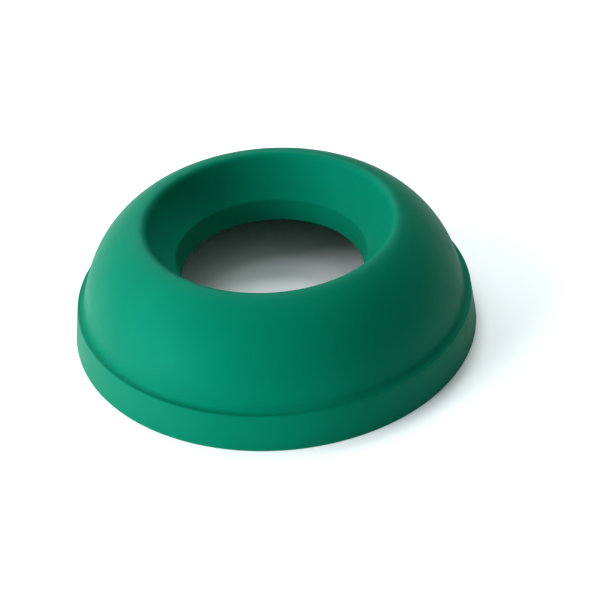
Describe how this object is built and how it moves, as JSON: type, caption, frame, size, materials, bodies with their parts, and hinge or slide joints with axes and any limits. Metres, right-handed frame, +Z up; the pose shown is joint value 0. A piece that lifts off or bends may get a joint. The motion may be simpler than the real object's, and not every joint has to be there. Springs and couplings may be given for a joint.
{
  "type": "waste bin lid",
  "caption": "Round domed bin lid with a short skirt, a ledge that seats on the bin's rim, and a wide bowl-shaped funnel opening into a short throat.",
  "frame": {"origin": "centre of the skirt's foot ring, on the plane that the lid stands on", "axes": "+Z up along the lid's axis of revolution, from the foot to the lip; X and Y are any two square directions, because the lid is round"},
  "size_m": [0.3997, 0.3998, 0.1165],
  "materials": {
    "lid_plastic": "satin moulded polypropylene, saturated green all through"
  },
  "bodies": {
    "root": {"lid": "lid_plastic"}
  },
  "joints": []
}
